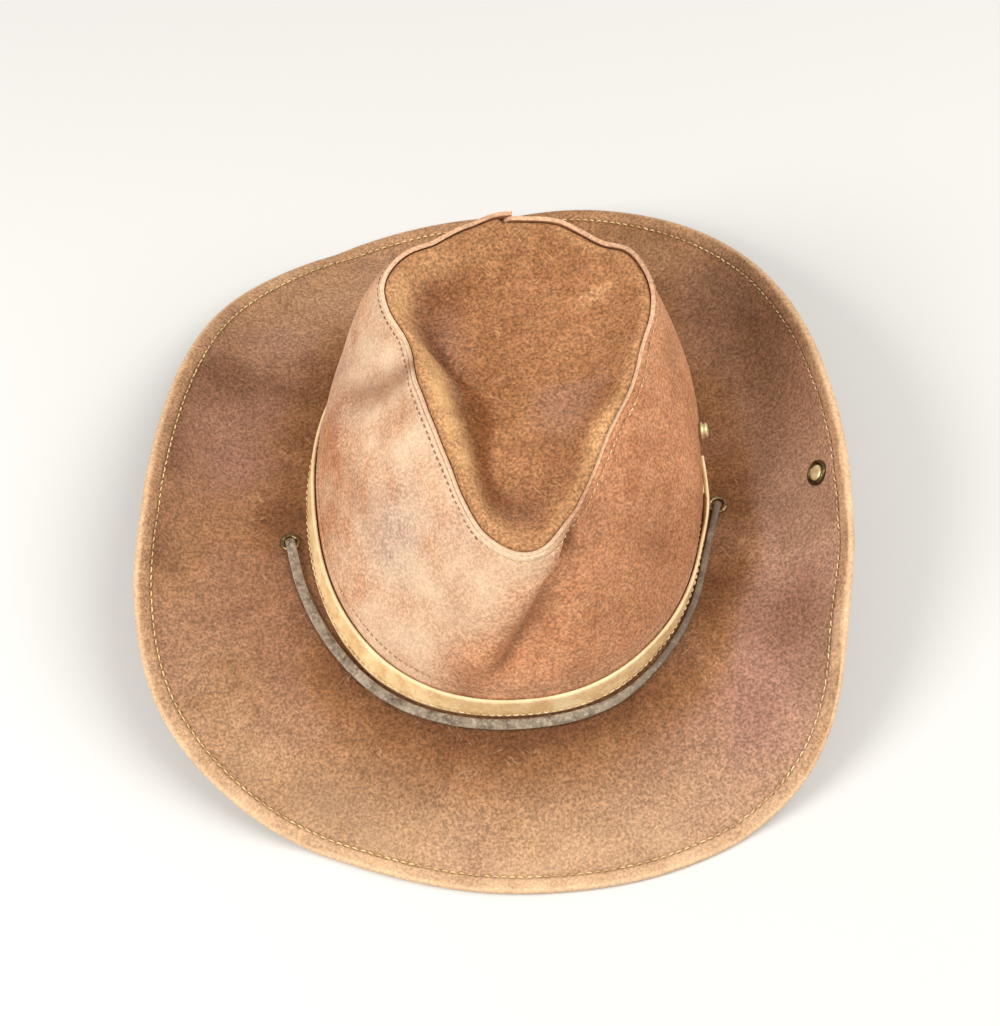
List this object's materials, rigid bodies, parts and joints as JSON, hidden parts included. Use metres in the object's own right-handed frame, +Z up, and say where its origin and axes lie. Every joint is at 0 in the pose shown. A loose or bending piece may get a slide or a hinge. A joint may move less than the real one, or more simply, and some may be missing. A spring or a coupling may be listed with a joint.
{
  "type": "leather fedora",
  "caption": "Brown suede leather fedora with a creased teardrop crown, pale band, brass eyelets, a snap for its side brim and a grey leather chin lace.",
  "frame": {"origin": "centre of the bounding box of the hat without its chin lace, at the height of the surface that it rests on", "axes": "+Z up through the crown, +Y toward the back of the hat, +X toward the wearer's left side, where the brim's snap socket is"},
  "size_m": [0.3241, 0.3679, 0.1279],
  "materials": {
    "brim_suede": "worn suede, matte",
    "crown_suede": "rubbed suede, matte",
    "tip_suede": "worn suede, matte",
    "pale_leather": "smooth, satin",
    "grey_leather": "smooth, satin",
    "aged_brass": "aged, satin",
    "pale_brass": "aged, satin"
  },
  "bodies": {
    "root": {"brim": "brim_suede", "crown_side": "crown_suede", "crown_tip": "tip_suede", "hat_band": "pale_leather", "eyelet_left": "aged_brass", "eyelet_right": "aged_brass", "snap_socket": "aged_brass", "snap_stud": "pale_brass", "chin_lace": "grey_leather"}
  },
  "joints": []
}
